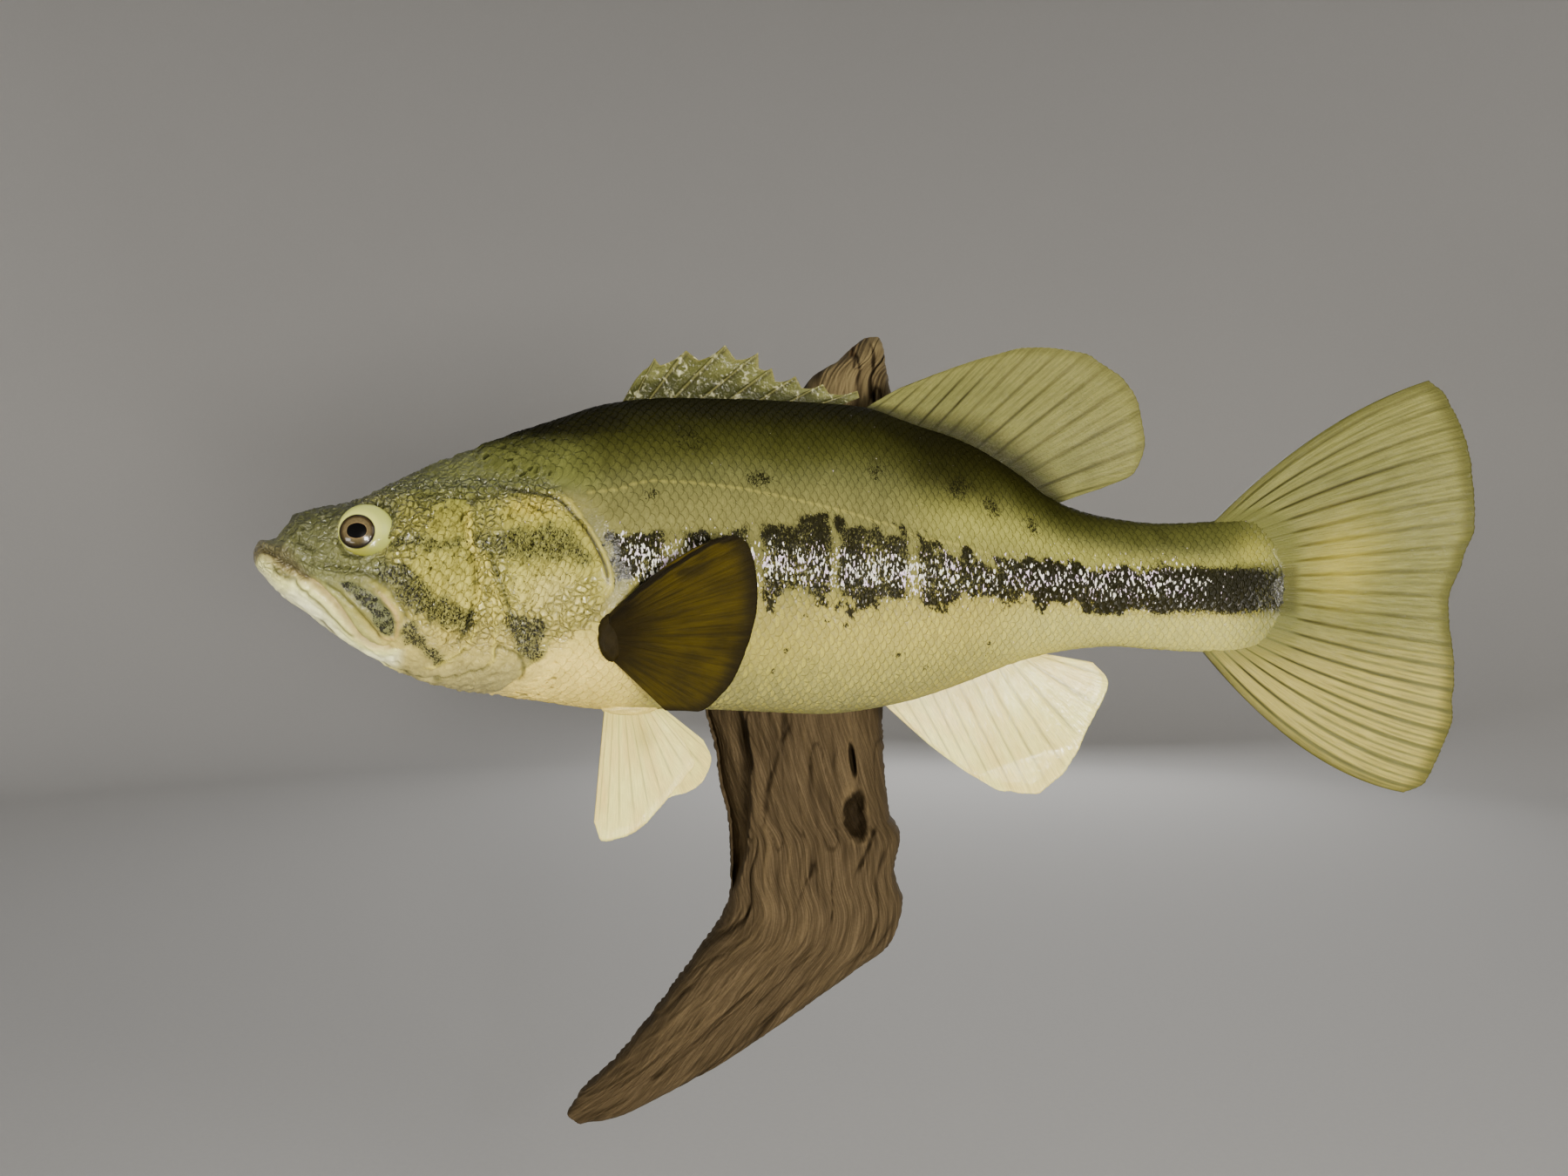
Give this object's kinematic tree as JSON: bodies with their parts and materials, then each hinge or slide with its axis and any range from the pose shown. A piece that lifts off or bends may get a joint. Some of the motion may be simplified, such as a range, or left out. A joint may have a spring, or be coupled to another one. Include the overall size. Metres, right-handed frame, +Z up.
{
  "type": "mounted largemouth bass",
  "caption": "Life-size taxidermy largemouth bass in a gentle swimming curve, fins spread, seated on a bent piece of weathered driftwood that hangs flat on a wall.",
  "frame": {"origin": "middle of the flat sawn patch on the back of the driftwood, which lies on the wall", "axes": "+Y into the wall, along the outward normal of the flat back; +X along the fish from nose to tail; +Z up"},
  "size_m": [0.5293, 0.1904, 0.4145],
  "materials": {
    "fish_skin": "painted fish skin under clear gloss, olive back, dark side band, cream belly",
    "head_plates": "painted bony plates under clear gloss",
    "eye_glass": "glass eye, dark pupil, brown iris",
    "green_fins": "rayed fins, yellow-green with dark grooves, satin gloss",
    "dark_fins": "rayed fins, dark olive brown, satin",
    "white_fins": "rayed fins, cream white, satin",
    "driftwood": "dry weathered grey-brown driftwood"
  },
  "bodies": {
    "root": {"anal_fin": "white_fins", "dorsal_fin_soft": "green_fins", "dorsal_fin_spiny": "green_fins", "driftwood": "driftwood", "eye_left": "eye_glass", "eye_right": "eye_glass", "gill_cover_left": "head_plates", "gill_cover_right": "head_plates", "head": "fish_skin", "lower_jaw": "fish_skin", "pectoral_fin_left": "dark_fins", "pectoral_fin_right": "dark_fins", "pelvic_fin_left": "white_fins", "pelvic_fin_right": "white_fins", "tail_fin": "green_fins", "tail_stalk": "fish_skin", "trunk": "fish_skin", "upper_jaw_left": "head_plates", "upper_jaw_right": "head_plates"}
  },
  "joints": []
}
